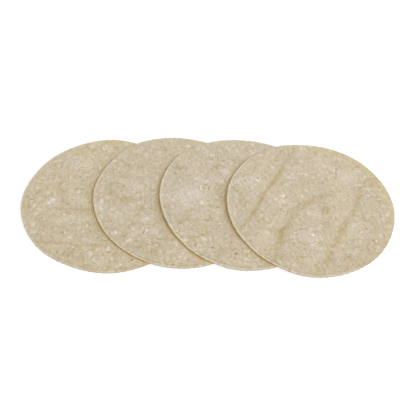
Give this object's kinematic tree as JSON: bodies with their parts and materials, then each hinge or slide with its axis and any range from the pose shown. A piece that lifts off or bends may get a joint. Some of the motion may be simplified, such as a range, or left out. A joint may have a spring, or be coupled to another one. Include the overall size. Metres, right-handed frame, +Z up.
{
  "type": "stack of corn tortillas",
  "caption": "Soft round corn tortillas laid in an overlapping row, each a thin uneven disc that rests on its neighbour and sags to the table.",
  "frame": {"origin": "on the table under the middle of the row's box", "axes": "+X along the row from the lowest tortilla to the topmost, +Y towards the back of the picture, +Z up"},
  "size_m": [0.3346, 0.1582, 0.0076],
  "materials": {
    "corn_dough": "matt pale beige griddled corn dough with small whitish blisters and tan mottling"
  },
  "bodies": {
    "root": {"tortilla_1": "corn_dough", "tortilla_2": "corn_dough", "tortilla_3": "corn_dough", "tortilla_4": "corn_dough"}
  },
  "joints": []
}
